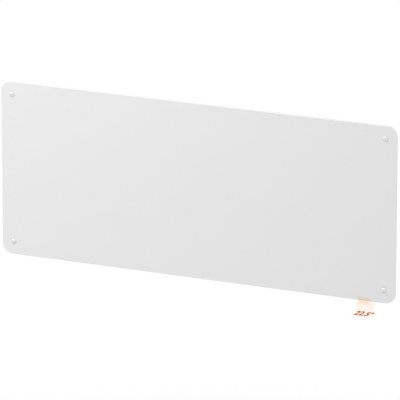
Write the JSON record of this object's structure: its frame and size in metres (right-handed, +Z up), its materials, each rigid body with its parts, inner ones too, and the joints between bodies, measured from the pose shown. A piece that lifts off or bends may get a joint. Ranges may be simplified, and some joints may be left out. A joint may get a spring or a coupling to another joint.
{
  "type": "glass panel heater",
  "caption": "Wall-mounted electric panel heater: a white glass front on corner studs before a louvred convector casing, hung on a steel wall bracket, with push buttons and a projected reading.",
  "frame": {"origin": "on the wall plane, at the middle of the wall bracket's middle crossbar, level with the centre of the glass", "axes": "+X to the right for someone facing the front, +Y into the wall, +Z up; the glass faces -Y"},
  "size_m": [0.8, 0.0825, 0.34],
  "materials": {
    "glass": "back-painted white glass, polished",
    "stud_metal": "satin chrome",
    "clear_plastic": "clear moulding",
    "zinc_steel": "zinc plated",
    "spring_steel": "bright spring steel",
    "white_paint": "white powder coat",
    "white_plastic": "white moulding",
    "aluminium": "mill finish",
    "dark_plastic": "black moulding",
    "circuit_board": "green solder mask",
    "rubber": "black rubber",
    "lens_glass": "clear lens"
  },
  "bodies": {
    "wall_bracket": {"bracket_leg_left": "zinc_steel", "bracket_leg_right": "zinc_steel", "bracket_crossbar_upper": "zinc_steel", "bracket_crossbar_middle": "zinc_steel", "bracket_catch_left": "spring_steel", "bracket_catch_right": "spring_steel"},
    "heater": {"glass_panel": "glass", "stud_cap_upper_left": "stud_metal", "stud_bush_upper_left": "clear_plastic", "standoff_upper_left": "zinc_steel", "stud_cap_upper_right": "stud_metal", "stud_bush_upper_right": "clear_plastic", "standoff_upper_right": "zinc_steel", "stud_cap_lower_left": "stud_metal", "stud_bush_lower_left": "clear_plastic", "standoff_lower_left": "zinc_steel", "stud_cap_lower_right": "stud_metal", "stud_bush_lower_right": "clear_plastic", "standoff_lower_right": "zinc_steel", "front_chassis": "white_paint", "rear_panel": "white_paint", "top_grille": "white_paint", "bottom_grille": "white_paint", "end_cap_left": "white_plastic", "end_cap_right": "white_plastic", "service_plate": "white_plastic", "control_fascia": "white_plastic", "button_board": "circuit_board", "wall_buffer_left": "rubber", "wall_buffer_right": "rubber", "cable_gland": "dark_plastic", "terminal_block": "white_plastic", "sensor_holder": "white_plastic", "room_sensor": "rubber", "heating_element": "aluminium", "heating_rod": "spring_steel", "element_hanger_left": "zinc_steel", "element_hanger_right": "zinc_steel", "heat_shield": "aluminium", "thermal_cutout": "dark_plastic", "control_housing": "dark_plastic", "control_cover": "dark_plastic", "control_board": "circuit_board", "power_relay": "dark_plastic", "power_supply": "dark_plastic", "element_lead_live": "rubber", "element_lead_neutral": "rubber", "switch_frame": "dark_plastic", "projector_housing": "dark_plastic", "projector_lens": "lens_glass", "projector_display": "dark_plastic", "projector_led_board": "circuit_board"},
    "power_rocker": {"power_rocker": "white_plastic"},
    "minus_button": {"button_minus": "white_plastic"},
    "plus_button": {"button_plus": "white_plastic"},
    "mode_button": {"button_mode": "white_plastic"}
  },
  "joints": [
    {"name": "heater_swing", "type": "hinge", "parent": "wall_bracket", "child": "heater", "pos_m": [0, -0.0229, 0.105], "axis": [-1, 0, 0], "range_deg": [0, 20]},
    {"name": "power_rocker_tip", "type": "hinge", "parent": "heater", "child": "power_rocker", "pos_m": [0.3657, -0.04355, -0.078], "axis": [0, 1, 0], "range_deg": [0, 22]},
    {"name": "minus_press", "type": "slide", "parent": "heater", "child": "minus_button", "axis": [0, 0, -1], "range_m": [0, 0.0008], "stiffness_N_per_m": 300, "springref_m": -0.001},
    {"name": "plus_press", "type": "slide", "parent": "heater", "child": "plus_button", "axis": [0, 0, -1], "range_m": [0, 0.0008], "stiffness_N_per_m": 300, "springref_m": -0.001},
    {"name": "mode_press", "type": "slide", "parent": "heater", "child": "mode_button", "axis": [0, 0, -1], "range_m": [0, 0.0008], "stiffness_N_per_m": 300, "springref_m": -0.001}
  ]
}
